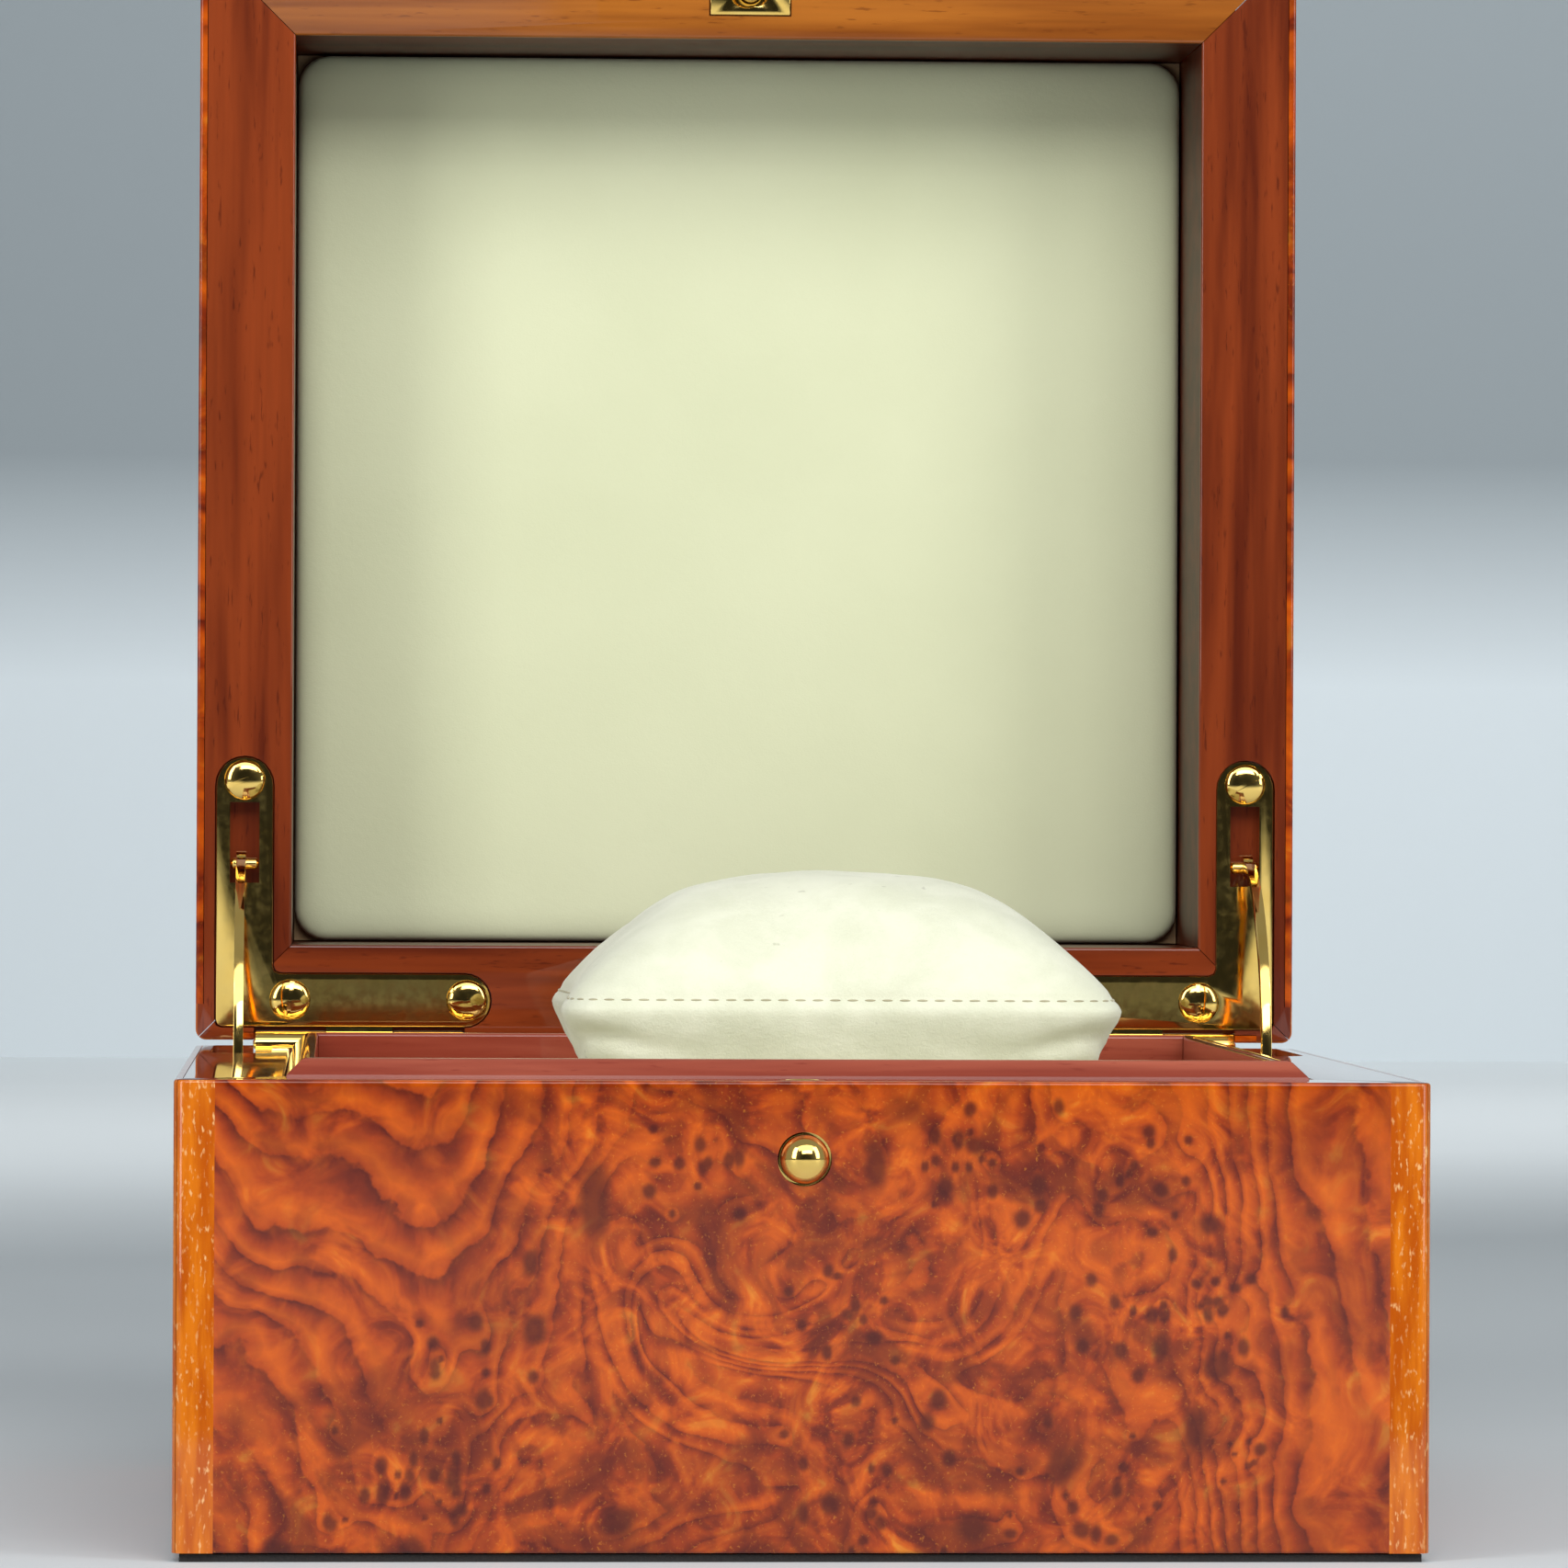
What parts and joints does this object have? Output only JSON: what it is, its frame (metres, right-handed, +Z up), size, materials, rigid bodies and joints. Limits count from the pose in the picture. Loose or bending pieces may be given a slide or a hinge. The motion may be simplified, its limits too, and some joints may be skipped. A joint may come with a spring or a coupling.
{
  "type": "watch box",
  "caption": "Square lacquered wooden watch box, lid open: burl veneer sides, padded lid panel, suede pillow on a tray, brass side-rail hinges with quadrant arms, push-button catch.",
  "frame": {"origin": "middle of the felt underside of the base", "axes": "+X to the box's right seen from the front, +Y to the back where the hinges are, +Z up"},
  "size_m": [0.165, 0.2075, 0.2288],
  "materials": {
    "lacquered_wood": "high-gloss clear lacquer over red-brown straight grain",
    "burl_veneer": "high-gloss clear lacquer over orange burl veneer",
    "liner_wood": "gloss lacquer over pinkish red-brown wood",
    "board": "plain unfinished board",
    "suede": "cream napped suede cloth",
    "lid_cloth": "cream smooth satin-faced cloth",
    "felt": "black felt",
    "foam": "dark dense foam",
    "polished_brass": "mirror-polished and lacquered"
  },
  "bodies": {
    "base": {"base_wall_front": "lacquered_wood", "base_wall_back": "lacquered_wood", "base_wall_left": "lacquered_wood", "base_wall_right": "lacquered_wood", "base_burl_front": "burl_veneer", "base_burl_back": "burl_veneer", "base_burl_left": "burl_veneer", "base_burl_right": "burl_veneer", "base_floor": "lacquered_wood", "base_felt": "felt", "liner_front": "liner_wood", "liner_back": "liner_wood", "liner_left": "liner_wood", "liner_right": "liner_wood", "tray_foam": "foam", "tray_deck": "suede", "pillow": "suede", "lock_case": "polished_brass", "rim_bush": "polished_brass", "left_base_leaf": "polished_brass", "left_hinge_pin": "polished_brass", "left_base_screw_1": "polished_brass", "left_base_screw_2": "polished_brass", "left_base_screw_3": "polished_brass", "right_base_leaf": "polished_brass", "right_hinge_pin": "polished_brass", "right_base_screw_1": "polished_brass", "right_base_screw_2": "polished_brass", "right_base_screw_3": "polished_brass"},
    "lid": {"lid_wall_front": "lacquered_wood", "lid_wall_back": "lacquered_wood", "lid_wall_left": "lacquered_wood", "lid_wall_right": "lacquered_wood", "lid_burl_front": "burl_veneer", "lid_burl_back": "burl_veneer", "lid_burl_left": "burl_veneer", "lid_burl_right": "burl_veneer", "lid_top_board": "board", "lid_top_burl": "burl_veneer", "lid_pad_board": "board", "lid_pad": "lid_cloth", "strike_plate": "polished_brass", "strike_stud": "polished_brass", "left_lid_leaf": "polished_brass", "left_arm_pin": "polished_brass", "left_lid_screw_1": "polished_brass", "left_lid_screw_2": "polished_brass", "left_lid_screw_3": "polished_brass", "right_lid_leaf": "polished_brass", "right_arm_pin": "polished_brass", "right_lid_screw_1": "polished_brass", "right_lid_screw_2": "polished_brass", "right_lid_screw_3": "polished_brass"},
    "left_arm": {"left_arm": "polished_brass"},
    "right_arm": {"right_arm": "polished_brass"},
    "button": {"push_button": "polished_brass", "latch_plate": "polished_brass"}
  },
  "joints": [
    {"name": "lid_hinge", "type": "hinge", "parent": "base", "child": "lid", "pos_m": [0, 0.0831, 0.06315], "axis": [1, 0, 0], "range_deg": [0, 90]},
    {"name": "left_arm_swing", "type": "hinge", "parent": "lid", "child": "left_arm", "pos_m": [0, 0.08505, 0.09015], "axis": [1, 0, 0], "range_deg": [-45, 0]},
    {"name": "right_arm_swing", "type": "hinge", "parent": "lid", "child": "right_arm", "pos_m": [0, 0.08505, 0.09015], "axis": [1, 0, 0], "range_deg": [-45, 0]},
    {"name": "button_press", "type": "slide", "parent": "base", "child": "button", "axis": [0, 1, 0], "range_m": [0, 0.002], "stiffness_N_per_m": 400}
  ],
  "couplings": [
    {"joint": "left_arm_swing", "follows": "lid_hinge", "ratio": -0.5},
    {"joint": "right_arm_swing", "follows": "lid_hinge", "ratio": -0.5}
  ]
}
